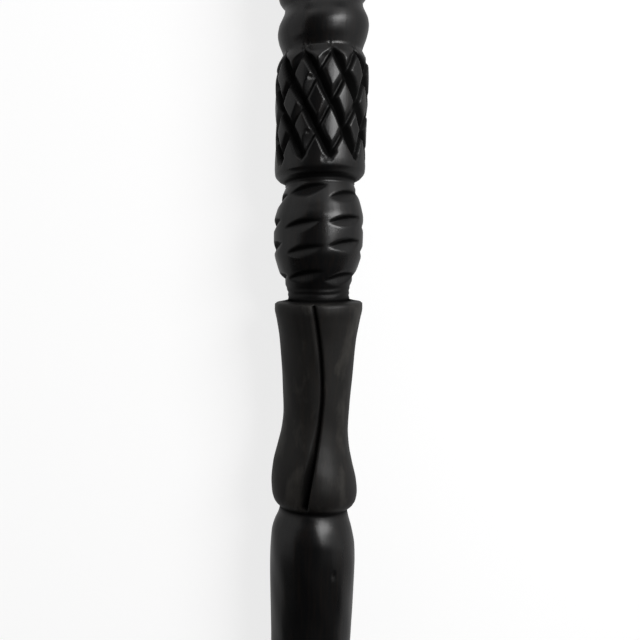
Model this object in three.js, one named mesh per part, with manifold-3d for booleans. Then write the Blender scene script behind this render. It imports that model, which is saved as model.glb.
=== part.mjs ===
// A carved walking cane of black hardwood, made of one piece of wood and lying on a flat surface.
// The shaft tapers to a flat tip. Above it come a creased trumpet, a gouged barrel, a band of
// raised diamonds, a bulb, a plain grip and a round knob.
//
// The cane is shaped upright and then laid down. Upright, a place on it is a station (mm from the
// tip), an angle (degrees from the carved front, positive to the right) and a radius.
import * as THREE from 'three';
import { mergeVertices } from 'three/addons/utils/BufferGeometryUtils.js';
import Module from 'manifold-3d';

const wasm = await Module();
wasm.setup();

// Stations of the main parts, in mm from the tip
const SHAFT_TOP = 589.5;
const RIM_EDGE = 653.0;
const WAIST = 654.2;
const NECK = 688.7;
const NOTCH = 729.3;
const GRIP_FOOT = 743.8;
const GRIP_TOP = 854;
const BEAD_TOP = 866;

// Knob: a slightly flattened ball
const KNOB_RADIUS = 21.5;
const KNOB_HALF_LENGTH = 20;
const KNOB_STATION = 888;

// Tip
const TIP_RADIUS = 8.5;
const TIP_ROUND = 1;

// Roundness and smoothness of the turned form
const SEGMENTS = 32;
const KNOB_STEPS = 8;

// Each smooth stretch of the outline: [station, radius] knots, and how many steps it is cut into
const STRETCHES = [
  { // shaft, with its rounded shoulder
    knots: [[TIP_ROUND, TIP_RADIUS], [150, 9.15], [300, 9.95], [430, 10.85], [500, 11.55], [548, 12.4],
      [562, 12.92], [574, 13.25], [580, 12.95], [584, 12.1], [588, 10.75], [SHAFT_TOP, 10.45]],
    at: [150, 300, 430, 500, 548, 562, 570, 576, 580, 583, 586, 588, SHAFT_TOP],
  },
  { // trumpet: swelling below, narrow middle, flared rim above
    knots: [[SHAFT_TOP, 10.45], [591.4, 12.3], [593.5, 13.1], [596.5, 13.38], [601, 12.95],
      [606.7, 11.6], [612, 10.5], [617, 10.1], [624, 10.42], [634, 11.15], [642, 11.87],
      [648, 12.9], [651.6, 13.55], [RIM_EDGE, 13.5]],
    at: [590.4, 591.6, 593.5, 596.5, 600.5, 604.5, 608.5, 613, 618, 625, 634, 642, 648, 651.6, RIM_EDGE],
  },
  { // collar and barrel
    knots: [[WAIST, 9.5], [655.4, 9.35], [657.3, 9.55], [660.9, 11.1], [664.6, 12.5], [668.5, 13.5],
      [674, 13.75], [678.5, 13.7], [682, 12.95], [685, 11.95], [NECK, 10.45]],
    at: [WAIST, 655.6, 657.5, 660, 662.5, 665.5, 669, 674, 678.5, 681, 684, 686.5, NECK],
  },
  { // band that carries the diamonds
    knots: [[NECK, 10.45], [690.2, 10.9], [690.8, 12.2], [691.6, 13.2], [692.6, 13.75], [695, 13.92],
      [705, 13.92], [714, 14.2], [720.5, 14.3], [724, 14.15], [726.2, 13.6], [728, 12.7],
      [NOTCH, 12]],
    at: [690.2, 690.8, 691.6, 692.8, 707, 720.5, 724.3, 726.6, 728.2, NOTCH],
  },
  { // bulb
    knots: [[NOTCH, 12], [730.8, 12.5], [733.5, 13.45], [736.2, 13.88], [738.3, 13.6],
      [740.3, 12.75], [742.3, 11.95], [GRIP_FOOT, 11.85]],
    at: [731, 733.5, 736.2, 738.4, 740.3, 742.2, GRIP_FOOT],
  },
  { // grip
    knots: [[GRIP_FOOT, 11.85], [744.8, 12.7], [746.2, 13.6], [748.5, 14.1], [770, 13.6],
      [800, 13.2], [830, 13.5], [848, 14.1], [851.5, 13.9], [853.3, 12.9], [GRIP_TOP, 11.6]],
    at: [744.8, 746.2, 748.5, 772, 800, 828, 848, 851.5, 853.2, GRIP_TOP],
  },
  { // bead under the knob
    knots: [[GRIP_TOP, 11.6], [856, 11.3], [858.5, 12.4], [861, 13.4], [863.5, 12.4], [BEAD_TOP, 11.2]],
    at: [856, 858.3, 861, 863.7, BEAD_TOP],
  },
];

// Diamonds: how many go round, the rise from one to the next above, and one known centre
const DIAMONDS_AROUND = 10;
const DIAMOND_RISE = 16.2;
const DIAMOND_ANGLE = -7.9;
const DIAMOND_STATION = 712.1;
const BAND_RADIUS = 14;
const GROOVE = { width: 3, depth: 1.6, bottom: 693.6, top: 728.4, fade: 3, steps: 7 };

// Gouges on the barrel: columns of lens-shaped cuts with a steep upper edge
const GOUGE_COLUMNS = 6;
const GOUGE_COLUMN_ANGLE = -23;
const GOUGE_ROWS = [661.8, 669.4, 676.8, 685.6];
const GOUGE_STAGGER = -0.9;
const GOUGE = { halfWidth: 6.6, height: 3.2, depth: 1.2, tilt: 7 };

// Crease of the trumpet: [station, angle] knots, run once on the front and once on the back
const CREASE_KNOTS = [[591, -10], [600, -4], [609, 2.5], [618, 9], [626, 11.2], [636, 7.2], [645, 1],
  [654, -6]];
const CREASE = { left: 3, right: 0.4, depth: 1.7, steps: 14 };
const CREASE_TURNS = [0, 180];

// Hand carving: how far each ring leans, in mm per mm, to the right and to the front, and how far
// it is set to the side, in mm, by station
const RING_SLANT = [[500, 0], [581, -0.14], [589.7, -0.03], [597, -0.14], [617, -0.27], [640, -0.06],
  [653, 0.03], [690, 0.06], [728, 0.08], [738, 0.12], [800, 0]];
const RING_NOD = [[560, 0], [590, 0.08], [620, 0], [653, -0.08], [668, 0]];
const RING_SHIFT = [[560, 0], [600, 0], [654, 0.1], [662, -0.4], [745, -0.4], [800, 0]];

// How deep the lowest points of the tip and the knob are cut flat, so that the cane lies still
const FLAT_DEPTH = 0.45;

const DEGREE = Math.PI / 180;

// A smooth curve through knots that never overshoots them (monotone cubic)
function smooth(knots) {
  const last = knots.length - 1;
  const slopes = [];
  for (let i = 0; i < last; i += 1) {
    slopes.push((knots[i + 1][1] - knots[i][1]) / (knots[i + 1][0] - knots[i][0]));
  }
  const tangents = knots.map((knot, i) => {
    if (i === 0) return slopes[0];
    if (i === last) return slopes[last - 1];
    const [before, after] = [slopes[i - 1], slopes[i]];
    return before * after <= 0 ? 0 : (2 * before * after) / (before + after);
  });
  return (x) => {
    if (x <= knots[0][0]) return knots[0][1];
    if (x >= knots[last][0]) return knots[last][1];
    let i = 0;
    while (x > knots[i + 1][0]) i += 1;
    const span = knots[i + 1][0] - knots[i][0];
    const t = (x - knots[i][0]) / span;
    const rise = t * t * (3 - 2 * t);
    return knots[i][1] * (1 - rise) + knots[i + 1][1] * rise
      + span * t * (1 - t) * (tangents[i] * (1 - t) - tangents[i + 1] * t);
  };
}

// The outline from the axis at the tip to the axis at the knob's end
function outlinePoints() {
  const points = [
    new THREE.Vector2(0, 0),
    new THREE.Vector2(TIP_RADIUS - TIP_ROUND * 0.9, 0),
    new THREE.Vector2(TIP_RADIUS, TIP_ROUND),
  ];
  for (const stretch of STRETCHES) {
    const radius = smooth(stretch.knots);
    for (const station of stretch.at) points.push(new THREE.Vector2(radius(station), station));
  }
  const foot = Math.asin(11.8 / KNOB_RADIUS);
  for (let i = 0; i <= KNOB_STEPS; i += 1) {
    const angle = (Math.PI - foot) * (1 - i / KNOB_STEPS);
    const radius = i === KNOB_STEPS ? 0 : KNOB_RADIUS * Math.sin(angle);
    points.push(new THREE.Vector2(radius, KNOB_STATION + KNOB_HALF_LENGTH * Math.cos(angle)));
  }
  return points;
}

// The radius of the turned form at a station between the shaft and the knob
const stretchRadii = STRETCHES.map((stretch) => smooth(stretch.knots));
function radiusAt(station) {
  const index = STRETCHES.findIndex((stretch) => station <= stretch.knots[stretch.knots.length - 1][0]);
  return stretchRadii[Math.max(index, 0)](station);
}

// A closed geometry as a solid that can be cut
function solidOf(geometry) {
  const bare = geometry.clone();
  bare.deleteAttribute('uv');
  bare.deleteAttribute('normal');
  const merged = mergeVertices(bare, 1e-4);
  return new wasm.Manifold(new wasm.Mesh({
    numProp: 3,
    vertProperties: new Float32Array(merged.attributes.position.array),
    triVerts: new Uint32Array(merged.index.array),
  }));
}

function geometryOf(solid) {
  const mesh = solid.getMesh();
  const geometry = new THREE.BufferGeometry();
  geometry.setAttribute('position', new THREE.BufferAttribute(new Float32Array(mesh.vertProperties), 3));
  geometry.setIndex(new THREE.BufferAttribute(new Uint32Array(mesh.triVerts), 1));
  return geometry;
}

// Moves each vertex of a geometry by a rule
function reshape(geometry, rule) {
  const position = geometry.attributes.position;
  const point = new THREE.Vector3();
  for (let i = 0; i < position.count; i += 1) {
    point.fromBufferAttribute(position, i);
    rule(point);
    position.setXYZ(i, point.x, point.y, point.z);
  }
  return geometry;
}

// A straight cutter: its section is across and above the surface, and it runs along z
function straightCutter(left, right, depth, length, steps) {
  const above = 1;
  const spread = 1 + above / depth;
  const section = new THREE.Shape([
    new THREE.Vector2(0, -depth),
    new THREE.Vector2(right * spread, above),
    new THREE.Vector2(-left * spread, above),
  ]);
  return new THREE.ExtrudeGeometry(section, { depth: length, steps, bevelEnabled: false });
}

function toPlace(point, angle, station, radius) {
  point.set(radius * Math.sin(angle * DEGREE), station, radius * Math.cos(angle * DEGREE));
}

// One groove between diamonds. hand is 1 for grooves that fall to the right, -1 to the left.
function diamondGroove(hand, number) {
  const pitchAngle = 360 / DIAMONDS_AROUND;
  const slope = Math.atan2(pitchAngle * DEGREE * BAND_RADIUS, DIAMOND_RISE);
  const length = (GROOVE.top - GROOVE.bottom) / Math.cos(slope);
  const half = GROOVE.width / 2;
  const cutter = straightCutter(half, half, GROOVE.depth, length, GROOVE.steps);
  const centreTurns = (DIAMOND_STATION - GROOVE.top) / DIAMOND_RISE + 0.5 + number;
  const startAngle = DIAMOND_ANGLE + hand * centreTurns * pitchAngle;
  return reshape(cutter, (point) => {
    const station = GROOVE.top - point.z * Math.cos(slope) + hand * point.x * Math.sin(slope);
    const arc = hand * point.z * Math.sin(slope) + point.x * Math.cos(slope);
    const fade = THREE.MathUtils.smoothstep(station, GROOVE.bottom, GROOVE.bottom + GROOVE.fade);
    const height = point.y < 0 ? point.y * fade : point.y;
    toPlace(point, startAngle + arc / BAND_RADIUS / DEGREE, station, radiusAt(station) + height);
  });
}

// One lens-shaped gouge: half a flattened ball, flat above, tilted up to the right
function gougeShape() {
  const ball = new THREE.SphereGeometry(1, 10, 6).scale(GOUGE.halfWidth, GOUGE.height, 2 * GOUGE.depth);
  const half = new THREE.BoxGeometry(30, 20, 30).translate(0, -10, 0);
  return geometryOf(solidOf(ball).intersect(solidOf(half)));
}

function gouge(shape, angle, station) {
  return shape.clone()
    .rotateZ(GOUGE.tilt * DEGREE)
    .translate(0, 0, radiusAt(station) + GOUGE.depth * 0.9)
    .rotateY(angle * DEGREE)
    .translate(0, station, 0);
}

function crease(turn) {
  const angleAt = smooth(CREASE_KNOTS);
  const top = CREASE_KNOTS[CREASE_KNOTS.length - 1][0];
  const bottom = CREASE_KNOTS[0][0];
  const cutter = straightCutter(CREASE.left, CREASE.right, CREASE.depth, top - bottom, CREASE.steps);
  return reshape(cutter, (point) => {
    const station = top - point.z;
    const radius = radiusAt(Math.min(station, RIM_EDGE));
    const angle = turn + angleAt(station) + point.x / radius / DEGREE;
    toPlace(point, angle, station, radius + point.y);
  });
}

// The leaning rings that show a hand-carved piece
function handCarved(point) {
  const station = point.y;
  const { x, z } = point;
  point.y += smooth(RING_SLANT)(station) * x + smooth(RING_NOD)(station) * z;
  point.x += smooth(RING_SHIFT)(station);
}

function carvedUpright() {
  let body = solidOf(new THREE.LatheGeometry(outlinePoints(), SEGMENTS));
  for (const hand of [1, -1]) {
    for (let number = 0; number < DIAMONDS_AROUND; number += 1) {
      body = body.subtract(solidOf(diamondGroove(hand, number)));
    }
  }
  const shape = gougeShape();
  for (let column = 0; column < GOUGE_COLUMNS; column += 1) {
    const angle = GOUGE_COLUMN_ANGLE + column * 360 / GOUGE_COLUMNS;
    for (const row of GOUGE_ROWS) {
      const station = row + (column % 2) * GOUGE_STAGGER;
      body = body.subtract(solidOf(gouge(shape, angle, station)));
    }
  }
  for (const turn of CREASE_TURNS) body = body.subtract(solidOf(crease(turn)));
  return reshape(geometryOf(body), handCarved);
}

// Lays the cane down with its front up, on its tip and its knob, and cuts the two rest flats
function laidDown(upright) {
  const slope = Math.asin((KNOB_RADIUS - TIP_RADIUS) / KNOB_STATION);
  upright.rotateZ(-Math.PI / 2).rotateY(-slope);
  upright.computeBoundingBox();
  upright.translate(0, 0, -upright.boundingBox.min.z - FLAT_DEPTH);
  const below = new THREE.BoxGeometry(2500, 200, 100).translate(0, 0, -50);
  const flat = geometryOf(solidOf(upright).subtract(solidOf(below)));
  flat.computeBoundingBox();
  const centre = flat.boundingBox.getCenter(new THREE.Vector3());
  return flat.translate(-centre.x, -centre.y, 0);
}

const wood = new THREE.MeshStandardMaterial({ color: 0x1a1614, roughness: 0.35, metalness: 0 });
const cane = new THREE.Mesh(laidDown(carvedUpright()), wood);
cane.name = 'cane';
cane.geometry.computeVertexNormals();

const part = new THREE.Group();
part.add(cane);

export default part;
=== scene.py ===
# A carved walking cane of black hardwood, lying with the front of its carving up.
# The whole cane is one fine mesh that stands for the faceted solid. It is shaped upright, where a
# place is a station (mm from the tip), an angle (degrees from the carved front, positive to the
# right of the picture) and a radius, and is then laid down as the solid is.
from math import asin, atan, cos, radians, sin, sqrt

import bpy
import numpy as np
from mathutils import Matrix, Vector


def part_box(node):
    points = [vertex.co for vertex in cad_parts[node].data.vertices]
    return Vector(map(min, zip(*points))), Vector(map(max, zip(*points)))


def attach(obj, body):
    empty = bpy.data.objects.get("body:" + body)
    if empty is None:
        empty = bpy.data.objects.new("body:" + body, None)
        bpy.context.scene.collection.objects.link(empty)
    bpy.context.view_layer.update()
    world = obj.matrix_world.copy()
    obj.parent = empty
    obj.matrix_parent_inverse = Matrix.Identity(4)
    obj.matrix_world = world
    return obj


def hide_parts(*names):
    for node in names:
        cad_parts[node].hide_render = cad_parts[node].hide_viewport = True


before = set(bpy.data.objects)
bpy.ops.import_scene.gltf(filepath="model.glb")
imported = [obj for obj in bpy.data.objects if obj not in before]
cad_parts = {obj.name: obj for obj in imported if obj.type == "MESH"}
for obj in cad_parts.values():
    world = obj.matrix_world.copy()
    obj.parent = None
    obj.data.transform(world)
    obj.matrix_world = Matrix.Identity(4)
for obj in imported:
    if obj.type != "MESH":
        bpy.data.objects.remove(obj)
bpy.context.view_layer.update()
MM = 0.001

# Stations of the main parts, in mm from the tip
SHAFT_TOP = 589.5
RIM_EDGE = 653.0
WAIST = 654.2
NECK = 688.7
NOTCH = 729.3
GRIP_FOOT = 743.8
GRIP_TOP = 854
BEAD_TOP = 866

# Knob and tip
KNOB_RADIUS = 21.5
KNOB_HALF_LENGTH = 20
KNOB_STATION = 888
KNOB_ROWS = 22
TIP_RADIUS = 8.5
TIP_ROUND = 1
TIP_FACE_RADIUS = TIP_RADIUS - TIP_ROUND * 0.9
FLAT_DEPTH = 0.45

# Each smooth stretch of the outline: [station, radius] knots, and the row spacing of the mesh in mm
STRETCHES = [
    ([(TIP_ROUND, TIP_RADIUS), (150, 9.15), (300, 9.95), (430, 10.85), (500, 11.55), (548, 12.4)], 28),
    ([(548, 12.4), (562, 12.92), (574, 13.25), (580, 12.95), (584, 12.1), (588, 10.75),
      (SHAFT_TOP, 10.45)], 0.85),
    ([(SHAFT_TOP, 10.45), (591.4, 12.3), (593.5, 13.1), (596.5, 13.38), (601, 12.95), (606.7, 11.6),
      (612, 10.5), (617, 10.1), (624, 10.42), (634, 11.15), (642, 11.87), (648, 12.9),
      (651.6, 13.55), (RIM_EDGE, 13.5)], 0.82),
    ([(RIM_EDGE, 13.5), (653.4, 13.1), (653.7, 11.5), (WAIST, 9.5)], 0.7),
    ([(WAIST, 9.5), (655.4, 9.35), (657.3, 9.55), (660.9, 11.1), (664.6, 12.5), (668.5, 13.5),
      (674, 13.75), (678.5, 13.7), (682, 12.95), (685, 11.95), (NECK, 10.45)], 0.42),
    ([(NECK, 10.45), (690.2, 10.9), (690.8, 12.2), (691.6, 13.2), (692.6, 13.75), (695, 13.92),
      (705, 13.92), (714, 14.2), (720.5, 14.3), (724, 14.15), (726.2, 13.6), (728, 12.7),
      (NOTCH, 12)], 0.37),
    ([(NOTCH, 12), (730.8, 12.5), (733.5, 13.45), (736.2, 13.88), (738.3, 13.6), (740.3, 12.75),
      (742.3, 11.95), (GRIP_FOOT, 11.85)], 0.8),
    ([(GRIP_FOOT, 11.85), (744.8, 12.7), (746.2, 13.6), (748.5, 14.1)], 0.7),
    ([(748.5, 14.1), (770, 13.6), (800, 13.2), (830, 13.5), (848, 14.1)], 9),
    ([(848, 14.1), (851.5, 13.9), (853.3, 12.9), (GRIP_TOP, 11.6)], 0.9),
    ([(GRIP_TOP, 11.6), (856, 11.3), (858.5, 12.4), (861, 13.4), (863.5, 12.4), (BEAD_TOP, 11.2)], 1),
]

# Columns of the mesh, a whole number to each half diamond
DIAMONDS_AROUND = 10
COLUMNS = DIAMONDS_AROUND * 2 * 11

# Diamonds: the rise from one to the next above, one known centre, and the grooves between them
DIAMOND_RISE = 16.2
DIAMOND_ANGLE = -6
DIAMOND_STATION = 712.7
BAND_RADIUS = 14
GROOVE_DEPTH = 2.3
# Grooves that fall to the right and to the left: relative depth, the widths of the left and the
# right wall, and how much painted shade darkens each wall
GROOVE_KINDS = {1: (1, 1.3, 2.5, 1, 1), -1: (0.68, 2.1, 0.9, 0.3, 0.95)}
GROOVE_BOTTOM = 693.6
GROOVE_FADE = 3

# Gouges: columns of lens-shaped cuts with a steep upper edge, at the stations of that edge
GOUGE_COLUMNS = 6
GOUGE_COLUMN_ANGLE = -20
GOUGE_COLUMN_STEP = 59
GOUGE_ROWS = [(661.8, 669.0, 676.6, 686.6), (661.0, 670.6, 677.6, 684.8)]
GOUGE_HALF_WIDTH = 6.3
GOUGE_HEIGHT = 2.6
GOUGE_DEPTH = 1.4
GOUGE_TILT = radians(8)
GOUGE_WALL = 1.1

# Crease of the trumpet: (station, angle) knots, run once on the front and once on the back
CREASE_KNOTS = [(591, -10), (600, -4), (609, 2.5), (618, 9), (626, 11.2), (636, 7.2), (645, 1), (654, -6)]
CREASE_DEPTH = [(590, 1.9), (600, 2.1), (617, 1.7), (640, 1.6), (653, 1.7)]
CREASE_LEFT = [(590, 3.0), (600, 2.8), (617, 1.3), (640, 0.9), (653, 0.9)]
CREASE_STEEP = 0.5
CREASE_LEDGE = 3.2
CREASE_TURNS = (0, 180)

# Hand carving: how far each ring leans to the right and to the front, and is set to the side
RING_SLANT = [(500, 0), (581, -0.14), (589.7, -0.03), (597, -0.14), (617, -0.27), (640, -0.06),
              (653, 0.03), (690, 0.06), (728, 0.08), (738, 0.12), (800, 0)]
RING_NOD = [(620, 0), (653, -0.06), (668, 0), (680, 0), (691, 0.08), (714, 0)]
RING_SHIFT = [(560, 0), (600, 0), (654, 0.1), (662, -0.4), (745, -0.4), (800, 0)]

# Chips and pits: (angle, station, radius, depth)
CHIPS = [(-14.5, 719.4, 0.7, 0.4), (-17.2, 703, 0.6, 0.4), (5.7, 694.5, 1.3, 0.35), (12, 694.2, 0.9, 0.3),
         (-28.5, 696.4, 0.8, 0.3), (-29, 592.4, 1.6, 0.2), (29.7, 572.4, 0.8, 0.6), (-33, 702, 1.2, 0.35)]


def smooth(knots):
    """A curve through knots that never overshoots them (monotone cubic)."""
    xs = np.array([float(knot[0]) for knot in knots])
    ys = np.array([float(knot[1]) for knot in knots])
    slopes = np.diff(ys) / np.diff(xs)
    tangents = np.empty_like(xs)
    tangents[0] = slopes[0]
    tangents[-1] = slopes[-1]
    before = slopes[:-1]
    after = slopes[1:]
    same = before * after > 0
    total = np.where(same, before + after, 1)
    tangents[1:-1] = np.where(same, 2 * before * after / total, 0)

    def curve(x):
        x = np.clip(x, xs[0], xs[-1])
        i = np.clip(np.searchsorted(xs, x) - 1, 0, len(xs) - 2)
        span = xs[i + 1] - xs[i]
        t = (x - xs[i]) / span
        rise = t * t * (3 - 2 * t)
        lift = tangents[i] * (1 - t) - tangents[i + 1] * t
        return ys[i] * (1 - rise) + ys[i + 1] * rise + span * t * (1 - t) * lift
    return curve


def step(low, high, x):
    t = np.clip((x - low) / (high - low), 0, 1)
    return t * t * (3 - 2 * t)


def waves(angle, station, seed, around, along):
    """Smooth wandering between about -1 and 1, made of a few sines that close round the cane."""
    random = np.random.default_rng(seed)
    total = np.zeros(np.broadcast(angle, station).shape)
    for _ in range(6):
        turns = random.integers(-around, around + 1)
        pace = random.uniform(0.4, 1) / along
        total += np.sin(np.radians(angle) * turns + 2 * np.pi * (station * pace + random.random()))
    return total / 3.2


def outline_rows():
    """Stations and radii of the mesh's rings from the tip's face to the knob, pole left out."""
    rows = [(0, TIP_FACE_RADIUS * part) for part in (0.25, 0.5, 0.75, 0.93, 1)]
    rows += [(0.12, TIP_FACE_RADIUS + 0.5), (0.45, TIP_RADIUS - 0.12)]
    for knots, spacing in STRETCHES:
        curve = smooth(knots)
        fine = np.linspace(knots[0][0], knots[-1][0], 600)
        radii = curve(fine)
        travel = np.concatenate([[0], np.cumsum(np.hypot(np.diff(fine), np.diff(radii)))])
        count = max(2, int(round(travel[-1] / spacing)))
        places = np.interp(np.linspace(0, travel[-1], count + 1)[:-1], travel, fine)
        rows += [(place, float(curve(place))) for place in places]
    foot = np.pi - asin(11.8 / KNOB_RADIUS)
    for angle in np.linspace(foot, 0, KNOB_ROWS + 1)[:-1]:
        rows.append((KNOB_STATION + KNOB_HALF_LENGTH * cos(angle), KNOB_RADIUS * sin(angle)))
    return np.array(rows)


def groove(distance, before, after):
    """0 outside a groove and 1 at its floor, from the widths of its two walls."""
    wall = np.where(distance < 0, 1 + distance / before, 1 - distance / after)
    return np.clip(wall, 0, 1)


def diamond_cuts(angle, station, radius):
    turn = (angle - DIAMOND_ANGLE) * DIAMONDS_AROUND / 360
    rise = (station - DIAMOND_STATION) / DIAMOND_RISE
    arc = 2 * np.pi * BAND_RADIUS / DIAMONDS_AROUND
    pitch = 1 / sqrt(1 / arc ** 2 + 1 / DIAMOND_RISE ** 2)
    deepest = 0
    both = 1
    black = 0
    ending = 1 - step(GROOVE_BOTTOM, GROOVE_BOTTOM + GROOVE_FADE, station) + 0.8 * step(725, 728.3, station)
    for hand, seed in ((1, 11), (-1, 12)):
        wander = 0.035 * waves(angle, station, seed, 7, 14)
        line = turn + hand * rise - 0.5 + wander
        offset = line - np.round(line)
        width = 1 + 0.18 * waves(angle, station, seed + 5, 6, 12)
        share, left, right, left_shade, right_shade = GROOVE_KINDS[hand]
        distance = offset * pitch + (right - left) / 2
        wall = share * np.clip(groove(distance, left * width, right * width) - ending, 0, 1)
        # Painted shade on the groove walls, blackest on the walls turned from the light
        wall_shade = np.where(distance < 0, left_shade, right_shade)
        black = np.maximum(black, wall_shade * np.clip(wall * 5, 0, 1))
        deepest = np.maximum(deepest, wall)
        both = both * wall
    depth = GROOVE_DEPTH * (1 + 0.14 * waves(angle, station, 21, 5, 9)) * (deepest + 0.25 * both)
    floor_limit = np.clip(radius - (BAND_RADIUS - GROOVE_DEPTH - 0.15), 0, None)
    depth = np.minimum(depth, floor_limit)
    return depth, black * np.clip(depth / 0.25, 0, 1)


def gouge_cuts(angle, station, radius):
    total = 0
    black = 0
    for column in range(GOUGE_COLUMNS):
        centre = GOUGE_COLUMN_ANGLE + column * GOUGE_COLUMN_STEP + (5 if column == 5 else 0)
        away = (angle - centre + 180) % 360 - 180
        for row, edge in enumerate(GOUGE_ROWS[column % 2]):
            across = np.radians(away - 2.5 * sin(row * 2.3 + column)) * radius
            x = across * cos(GOUGE_TILT) + (station - edge) * sin(GOUGE_TILT)
            y = (station - edge) * cos(GOUGE_TILT) - across * sin(GOUGE_TILT)
            bow = np.clip(1 - (x / GOUGE_HALF_WIDTH) ** 2, 0, 1)
            y = y - 0.4 * bow
            height = GOUGE_HEIGHT * bow + 1e-6
            floor = np.clip(1 + y / height, 0, 1)
            wall = np.clip(1 - y / (GOUGE_WALL * bow + 1e-6), 0, 1)
            lines = 0.05 * np.sin(across * 7 + row) * (floor < 1)
            depth = GOUGE_DEPTH * (0.9 + 0.2 * sin(row * 5 + column * 3)) * bow * np.where(y < 0, floor, wall)
            total = np.maximum(total, depth * (1 + lines * 2))
            # Painted shade under each gouge's steep upper edge, fading down its floor
            painted_edge_shade = np.where(y < 0, floor ** 4 + 0.5 * np.exp(-(floor / 0.15) ** 2), 1)
            black = np.maximum(black, np.clip(depth / 0.15, 0, 1) * np.clip(0.15 + painted_edge_shade, 0, 1))
    return total, black


def crease_cuts(angle, station, radius):
    inside = step(590.2, 592, station) * (station < RIM_EDGE + 0.3)
    depth = smooth(CREASE_DEPTH)(station)
    left = smooth(CREASE_LEFT)(station)
    line = smooth(CREASE_KNOTS)(station)
    total = 0
    black = 0
    for turn in CREASE_TURNS:
        across = np.radians((angle - turn - line + 180) % 360 - 180) * radius
        valley = depth * groove(across, left, CREASE_STEEP)
        ledge = 0.3 * groove(across, left + CREASE_LEDGE, CREASE_STEEP)
        valley = np.maximum(valley, ledge)
        high = step(632, 642, station)
        ridge = -0.25 * high * np.exp(-((across + left + 1.2) / 0.8) ** 2)
        hollow = 0.4 * high * np.exp(-((across + left + 3.4) / 1.3) ** 2)
        lines = 0.1 * np.sin(across * 6 + station * 0.2) * (across > -left) * (across < 0) * (station < 606)
        total = total + valley + ridge + hollow + lines
        # Painted shade: a black line along the steep wall, and a valley floor darker towards the tip
        painted_line_shade = np.exp(-((across + 0.25) / 0.55) ** 2)
        floor_shade = (1 - step(600, 616, station)) * groove(across, left * 1.2, CREASE_STEEP)
        black = black + np.maximum(painted_line_shade, np.clip(floor_shade * 1.6, 0, 1))
    return total * inside, black * inside


def tool_marks(angle, station):
    """Rings left by the knife on the neck and the collar, and the faint facets of hand work."""
    wander = 0.5 * waves(angle, station, 31, 4, 20)
    collar = step(654.4, 655, station) * (1 - step(657, 659, station))
    neck = step(688.2, 688.9, station) * (1 - step(690.8, 691.6, station))
    rings = 0.13 * np.sin(2 * np.pi * (station + 1.4 * wander) / 1.6) * collar
    rings = rings + 0.12 * np.sin(2 * np.pi * (station + 0.4 * wander) / 0.9) * neck
    under = step(583, 585, station) * (1 - step(588.5, 589.5, station)) * np.exp(-((angle + 8) / 22) ** 2)
    rings = rings + 0.12 * np.sin(2 * np.pi * (station + wander) / 1.5) * under
    facets = 0.07 * waves(angle, station, 41, 9, 16)
    return rings + facets * step(400, 560, station) * (1 - step(742, 760, station))


def chip_cuts(angle, station, radius):
    total = 0
    for chip_angle, chip_station, size, depth in CHIPS:
        across = np.radians((angle - chip_angle + 180) % 360 - 180) * radius
        reach = np.hypot(across, station - chip_station) / size
        total = total + depth * np.clip(1 - reach ** 2, 0, 1)
    return total


def carving(angle, station, radius):
    """How deep the surface lies under the turned form, and how dark the painted shade laid into its cuts,
    chips and throats is there.
    """
    in_band = (station > NECK) & (station < NOTCH)
    in_barrel = (station > WAIST + 2) & (station < NECK)
    in_trumpet = (station > SHAFT_TOP) & (station < RIM_EDGE + 0.3)
    depth = 0
    painted_shade = 0
    for place, cuts in ((in_band, diamond_cuts), (in_barrel, gouge_cuts), (in_trumpet, crease_cuts)):
        deep, black = cuts(angle, station, radius)
        depth = depth + np.where(place, deep, 0)
        painted_shade = painted_shade + np.where(place, black, 0)
    chips = chip_cuts(angle, station, radius)
    # Painted shade in the throats at the waist, the neck and the top of the shaft
    painted_throat_shade = np.exp(-((station - WAIST) / 0.5) ** 2) + np.exp(-((station - NECK - 1.3) / 0.8) ** 2)
    painted_throat_shade = painted_throat_shade + np.exp(-((station - SHAFT_TOP) / 0.8) ** 2)
    # Painted dark reflection on the collar under the rim
    painted_throat_shade = painted_throat_shade + 0.6 * step(654.2, 655, station) * (1 - step(657, 662, station))
    depth = depth + chips + tool_marks(angle, station)
    # Painted shade: the chips and pits are blackened as deep as they go, beside the cuts and throats
    return depth, np.clip(painted_shade + chips + painted_throat_shade, 0, 1)


def hand_carved(right, station, front):
    slanted = station + smooth(RING_SLANT)(station) * right + smooth(RING_NOD)(station) * front
    return right + smooth(RING_SHIFT)(station), slanted, front


# The solid lies on its knob and tip, so its axis rises towards the knob
SLOPE = asin((KNOB_RADIUS - TIP_RADIUS) / KNOB_STATION)
node_low, node_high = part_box("cane")
LAID_X = node_low[0] / MM + TIP_FACE_RADIUS * sin(SLOPE)
LAID_Z = TIP_RADIUS - FLAT_DEPTH
AXIS = Vector((cos(SLOPE), 0, sin(SLOPE)))
FRONT = Vector((-sin(SLOPE), 0, cos(SLOPE)))
RIGHT = Vector((0, -1, 0))


def laid(right, station, front):
    """A place on the upright cane in metres in the shared frame."""
    x = LAID_X + station * cos(SLOPE) - front * sin(SLOPE)
    z = LAID_Z + station * sin(SLOPE) + front * cos(SLOPE)
    return np.stack([x, -right, z], axis=-1) * MM


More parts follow.
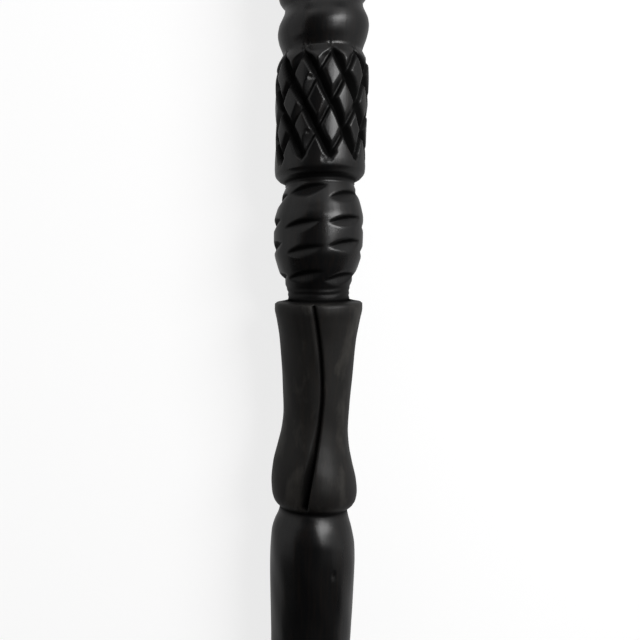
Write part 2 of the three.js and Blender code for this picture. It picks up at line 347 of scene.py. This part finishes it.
def cane_mesh():
    rows = outline_rows()
    station = np.repeat(rows[:, 0:1], COLUMNS, axis=1)
    radius = np.repeat(rows[:, 1:2], COLUMNS, axis=1)
    angle = np.tile(np.arange(COLUMNS) * 360 / COLUMNS - 180, (len(rows), 1))
    spread = np.gradient(rows[:, 0])[:, None] / 3
    depth = 0
    painted_shade = 0
    for turn in (-1, 0, 1):
        for move in (-1, 0, 1):
            sample = carving(angle + turn * 120 / COLUMNS, station + move * spread, radius)
            depth = depth + sample[0] / 9
            painted_shade = painted_shade + sample[1] / 9
    radius = radius - depth
    right = radius * np.sin(np.radians(angle))
    front = radius * np.cos(np.radians(angle))
    points = laid(*hand_carved(right, station, front)).reshape(-1, 3)
    ends = [laid(0, 0, 0), laid(0, KNOB_STATION + KNOB_HALF_LENGTH, 0)]
    points = np.vstack([points, ends])
    points[:, 2] = np.clip(points[:, 2], 0, None)

    index = np.arange(len(rows) * COLUMNS).reshape(len(rows), COLUMNS)
    following = np.roll(index, -1, axis=1)
    quads = np.stack([index[:-1], following[:-1], following[1:], index[1:]], axis=-1).reshape(-1, 4)
    tip, pole = len(points) - 2, len(points) - 1
    faces = quads.tolist()
    faces += [(tip, int(b), int(a)) for a, b in zip(index[0], following[0])]
    faces += [(pole, int(a), int(b)) for a, b in zip(index[-1], following[-1])]
    mesh = bpy.data.meshes.new("carved cane")
    mesh.from_pydata(points.tolist(), [], faces)
    mesh.update()
    mesh.shade_smooth()
    matte = step(589, 592, station) * (1 - step(652, 656, station))
    # The painted shade mask is kept on the mesh, for the material to blacken the cuts with it
    for name, values in (("painted_shade", painted_shade), ("matte", matte)):
        mask = mesh.attributes.new(name, "FLOAT", "POINT")
        mask.data.foreach_set("value", np.append(values.ravel(), [0, 0]).astype(np.float32))
    return mesh


def black_wood():
    """Polished black hardwood: faint brown grain along the cane, and painted shade that blackens the cuts,
    which are also rougher and less shiny.
    """
    material = bpy.data.materials.new("black wood")
    material.use_nodes = True
    nodes = material.node_tree.nodes
    links = material.node_tree.links
    shader = nodes["Principled BSDF"]
    shader.inputs["IOR"].default_value = 1.42
    place = nodes.new("ShaderNodeTexCoord")

    def stretched(scale):
        mapping = nodes.new("ShaderNodeMapping")
        mapping.inputs["Scale"].default_value = scale
        links.new(place.outputs["Object"], mapping.inputs["Vector"])
        return mapping.outputs["Vector"]

    def noise(vector, scale, detail):
        texture = nodes.new("ShaderNodeTexNoise")
        texture.inputs["Scale"].default_value = scale
        texture.inputs["Detail"].default_value = detail
        links.new(vector, texture.inputs["Vector"])
        return texture.outputs["Fac"]

    def ramp(value, low, high, first, second):
        node = nodes.new("ShaderNodeMapRange")
        node.inputs["From Min"].default_value = low
        node.inputs["From Max"].default_value = high
        node.inputs["To Min"].default_value = first
        node.inputs["To Max"].default_value = second
        links.new(value, node.inputs["Value"])
        return node.outputs["Result"]

    def mixed(factor, first, second):
        node = nodes.new("ShaderNodeMix")
        node.data_type = "RGBA"
        links.new(factor, node.inputs["Factor"])
        for socket, value in ((node.inputs["A"], first), (node.inputs["B"], second)):
            if isinstance(value, tuple):
                socket.default_value = value
            else:
                links.new(value, socket)
        return node.outputs["Result"]

    def calculated(operation, first, second):
        node = nodes.new("ShaderNodeMath")
        node.operation = operation
        for socket, value in zip(node.inputs, (first, second)):
            if isinstance(value, (int, float)):
                socket.default_value = value
            else:
                links.new(value, socket)
        return node.outputs["Value"]

    def painted(name):
        node = nodes.new("ShaderNodeAttribute")
        node.attribute_name = name
        return node.outputs["Fac"]

    painted_shade_mask = painted("painted_shade")
    matte_mask = painted("matte")
    grain = noise(stretched((60, 900, 900)), 1, 4)
    cloud = noise(stretched((35, 60, 60)), 1, 3)
    fine = noise(stretched((900, 1800, 1800)), 1, 2)
    scuff = noise(stretched((70, 160, 160)), 1, 6)

    black = (0.0040, 0.0040, 0.0043, 1)
    brown = (0.0085, 0.0064, 0.0055, 1)
    dusty = (0.0450, 0.0420, 0.0375, 1)
    # Painted shade: the black laid into the cuts, chips and throats
    painted_shade_black = (0.0030, 0.0030, 0.0030, 1)
    body = mixed(ramp(grain, 0.45, 0.8, 0, 1), black, brown)
    scuffed = ramp(scuff, 0.5, 0.7, 0.17, 0.75)
    worn = mixed(calculated("MULTIPLY", scuffed, calculated("ADD", matte_mask, 0.03)), body, dusty)
    # Base colour: grain, the dust and scuffs of the trumpet, and painted shade in the cuts
    links.new(mixed(painted_shade_mask, worn, painted_shade_black), shader.inputs["Base Color"])

    polish = ramp(cloud, 0.3, 0.7, 0.23, 0.36)
    rubbed = calculated("ADD", polish, calculated("MULTIPLY", matte_mask, 0.2))
    rough = calculated("ADD", rubbed, calculated("MULTIPLY", painted_shade_mask, 0.3))
    links.new(rough, shader.inputs["Roughness"])
    shine = calculated("SUBTRACT", 0.5, calculated("MULTIPLY", painted_shade_mask, 0.46))
    shine = calculated("SUBTRACT", shine, calculated("MULTIPLY", matte_mask, 0.24))
    links.new(shine, shader.inputs["Specular IOR Level"])

    bump = nodes.new("ShaderNodeBump")
    bump.inputs["Strength"].default_value = 0.25
    bump.inputs["Distance"].default_value = 0.00012
    relief = calculated("ADD", grain, calculated("MULTIPLY", fine, calculated("ADD", painted_shade_mask, 0.25)))
    links.new(relief, bump.inputs["Height"])
    links.new(bump.outputs["Normal"], shader.inputs["Normal"])
    return material


# Camera: over the carved front, as the photograph was taken
CAMERA_STATION = 657.05
CAMERA_DISTANCE = 263.2
CAMERA_SIDE = 0.43
FOCAL_PIXELS = 850
IMAGE_PIXELS = 640
FOOT_ROW = 290
LEAN = radians(1.34)
SENSOR = 36


def make_camera():
    pitch = atan((IMAGE_PIXELS / 2 - FOOT_ROW) / FOCAL_PIXELS)
    up_flat = AXIS * cos(LEAN) - RIGHT * sin(LEAN)
    right = RIGHT * cos(LEAN) + AXIS * sin(LEAN)
    forward = -FRONT * cos(pitch) - up_flat * sin(pitch)
    up = right.cross(forward)
    data = bpy.data.cameras.new("camera")
    data.sensor_width = SENSOR
    data.lens = FOCAL_PIXELS / IMAGE_PIXELS * SENSOR
    data.clip_start = 0.01
    camera = bpy.data.objects.new("camera", data)
    bpy.context.collection.objects.link(camera)
    place = Vector(laid(CAMERA_SIDE, CAMERA_STATION, CAMERA_DISTANCE))
    rotation = Matrix((right, up, -forward)).transposed()
    camera.matrix_world = Matrix.Translation(place) @ rotation.to_4x4()
    bpy.context.scene.camera = camera


def make_light(name, direction, distance, width, height, power):
    """A soft rectangle aimed at the carving; direction is (right, along the cane, front)."""
    data = bpy.data.lights.new(name, "AREA")
    data.shape = "RECTANGLE"
    data.size = width
    data.size_y = height
    data.energy = power
    light = bpy.data.objects.new(name, data)
    bpy.context.collection.objects.link(light)
    towards = (RIGHT * direction[0] + AXIS * direction[1] + FRONT * direction[2]).normalized()
    target = Vector(laid(0, CAMERA_STATION, 0))
    light.location = target + towards * distance
    light.rotation_euler = towards.to_track_quat("Z", "Y").to_euler()


def make_sheet(name, height, albedo, glow):
    """A level sheet that reaches far past the view, lit and slightly glowing."""
    mesh = bpy.data.meshes.new(name)
    half = 3
    corners = [(-half, -half, height), (half, -half, height), (half, half, height), (-half, half, height)]
    mesh.from_pydata(corners, [], [(0, 1, 2, 3)])
    sheet = bpy.data.objects.new(name, mesh)
    bpy.context.collection.objects.link(sheet)
    material = bpy.data.materials.new(name)
    material.use_nodes = True
    shader = material.node_tree.nodes["Principled BSDF"]
    shader.inputs["Base Color"].default_value = (albedo, albedo, albedo, 1)
    shader.inputs["Roughness"].default_value = 1
    shader.inputs["Specular IOR Level"].default_value = 0
    shader.inputs["Emission Color"].default_value = (1, 1, 1, 1)
    shader.inputs["Emission Strength"].default_value = glow
    mesh.materials.append(material)
    return sheet


def make_floor():
    """A white floor, and a dimmer sheet just under it for what the polished wood reflects."""
    floor = make_sheet("floor", 0, 0.3, 0.78)
    floor.visible_glossy = False
    bounce = make_sheet("bounce_sheet", -0.002, 0, 0.42)
    bounce.visible_camera = False
    bounce.visible_diffuse = False


def make_world():
    world = bpy.data.worlds.new("studio")
    world.use_nodes = True
    world.node_tree.nodes["Background"].inputs["Strength"].default_value = 0.05
    bpy.context.scene.world = world


make_camera()
make_floor()
make_world()
make_light("key", (0.62, 0.35, 0.75), 0.62, 0.25, 0.36, 3.2)
make_light("left_wall", (-1, 0.4, 0.28), 1.1, 1.7, 1.3, 4)
make_light("right_wall", (1, 0.4, 0.2), 1.1, 1.7, 1.1, 3.6)
make_light("knob_end", (0.1, 0.9, 0.6), 1.2, 1.6, 0.8, 3.6)
bpy.context.scene.view_settings.view_transform = "Standard"

cane = bpy.data.objects.new("carved_cane", cane_mesh())
bpy.context.collection.objects.link(cane)
cane.data.materials.append(black_wood())
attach(cane, "root")
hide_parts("cane")

bpy.context.view_layer.update()
